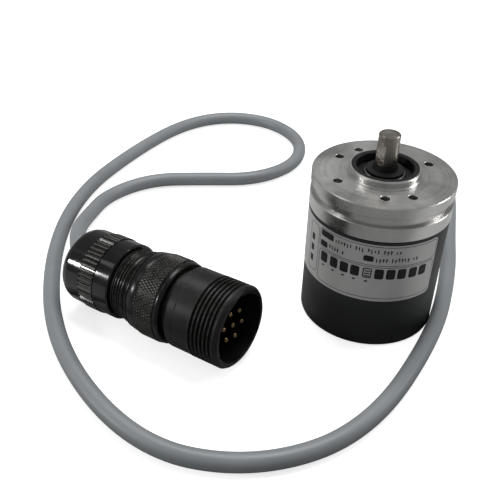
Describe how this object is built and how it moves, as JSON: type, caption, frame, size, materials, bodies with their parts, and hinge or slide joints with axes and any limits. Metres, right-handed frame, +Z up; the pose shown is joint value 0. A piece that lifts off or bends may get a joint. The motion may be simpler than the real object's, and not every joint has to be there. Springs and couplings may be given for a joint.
{
  "type": "rotary encoder",
  "caption": "Round synchro-flange incremental rotary encoder with a solid flatted shaft, and a grey moulded cable ending in a black round threaded in-line connector.",
  "frame": {"origin": "centre of the cover's base, on the surface the encoder stands on", "axes": "+Z up along the shaft, out of the flange; +X to the encoder's right and +Y away as seen from the label's middle, with the cable leaving the cover near +Y and the connector lying near -X"},
  "size_m": [0.1392, 0.1954, 0.0575],
  "materials": {
    "turned_aluminium": "fine turned, satin",
    "charcoal_coat": "matt stove enamel",
    "label_foil": "satin printed foil",
    "black_rubber": "matt moulded",
    "ground_steel": "ground",
    "bearing_steel": "ground and polished",
    "screw_steel": "zinc plated",
    "spring_steel": "blued",
    "natural_nylon": "moulded",
    "turned_brass": "turned",
    "nickel_brass": "nickel plated",
    "disc_glass": "polished, chromium tracks",
    "black_plastic": "moulded",
    "lamp_resin": "clear resin",
    "sensor_dark": "dark resin",
    "board_green": "solder mask",
    "can_aluminium": "drawn can",
    "wire_colours": "insulation",
    "cable_grey": "soft vinyl, low sheen",
    "black_anodised": "black anodised, satin",
    "insert_black": "moulded",
    "gilt_contacts": "thin gilt"
  },
  "bodies": {
    "housing": {"mounting_flange": "turned_aluminium", "flange_gasket": "black_rubber", "spigot_o_ring": "black_rubber", "cover": "charcoal_coat", "cover_screws": "screw_steel", "label": "label_foil", "shaft_seal": "black_rubber", "seal_spring": "screw_steel", "front_bearing_outer": "bearing_steel", "front_bearing_shields": "bearing_steel", "rear_bearing_outer": "bearing_steel", "rear_bearing_shields": "bearing_steel", "outer_spacer": "turned_aluminium", "preload_washer": "spring_steel", "bearing_clip": "spring_steel", "emitter_holder": "black_plastic", "emitter_lamp": "lamp_resin", "photo_sensor": "sensor_dark", "sensor_frame": "black_plastic", "slit_plate": "disc_glass", "circuit_board": "board_green", "board_chips": "black_plastic", "capacitors": "can_aluminium", "wire_header": "natural_nylon", "lead_wires": "wire_colours", "upper_posts": "turned_brass", "lower_posts": "turned_brass", "gland_body": "nickel_brass", "gland_inner_nut": "nickel_brass", "gland_nut": "nickel_brass", "gland_grommet": "black_rubber", "cable_inner_end": "cable_grey", "cable": "cable_grey", "connector_shell": "black_anodised", "connector_insert": "insert_black", "connector_pins": "gilt_contacts", "backshell": "black_anodised", "backshell_seal": "black_rubber", "clamp_collet": "natural_nylon", "cable_bushing": "black_rubber", "cable_plug_end": "cable_grey"},
    "rotor": {"shaft": "ground_steel", "front_bearing_inner": "bearing_steel", "rear_bearing_inner": "bearing_steel", "inner_spacer": "bearing_steel", "shaft_clip": "spring_steel", "disc_hub": "turned_brass", "hub_screw": "screw_steel", "code_disc": "disc_glass", "disc_clamp": "turned_brass"},
    "front_ball_train": {"front_bearing_balls": "bearing_steel", "front_bearing_cage": "natural_nylon"},
    "rear_ball_train": {"rear_bearing_balls": "bearing_steel", "rear_bearing_cage": "natural_nylon"},
    "union_ring": {"union_ring": "black_anodised"},
    "clamp_nut": {"clamp_nut": "black_anodised"}
  },
  "joints": [
    {"name": "shaft_spin", "type": "hinge", "parent": "housing", "child": "rotor", "pos_m": [0, 0, 0.0458], "axis": [0, 0, 1], "continuous": true},
    {"name": "front_ball_orbit", "type": "hinge", "parent": "housing", "child": "front_ball_train", "pos_m": [0, 0, 0.0404], "axis": [0, 0, 1], "continuous": true},
    {"name": "rear_ball_orbit", "type": "hinge", "parent": "housing", "child": "rear_ball_train", "pos_m": [0, 0, 0.0322], "axis": [0, 0, 1], "continuous": true},
    {"name": "union_ring_turn", "type": "hinge", "parent": "housing", "child": "union_ring", "pos_m": [-0.0566, -0.02646, 0.01243], "axis": [0.9266, -0.3746, 0.0337], "continuous": true},
    {"name": "clamp_nut_turn", "type": "hinge", "parent": "housing", "child": "clamp_nut", "pos_m": [-0.0756, -0.01878, 0.01174], "axis": [0.9266, -0.3746, 0.0337], "range_deg": [0, 540]}
  ],
  "couplings": [
    {"joint": "front_ball_orbit", "follows": "shaft_spin", "ratio": 0.3609},
    {"joint": "rear_ball_orbit", "follows": "shaft_spin", "ratio": 0.3609}
  ]
}
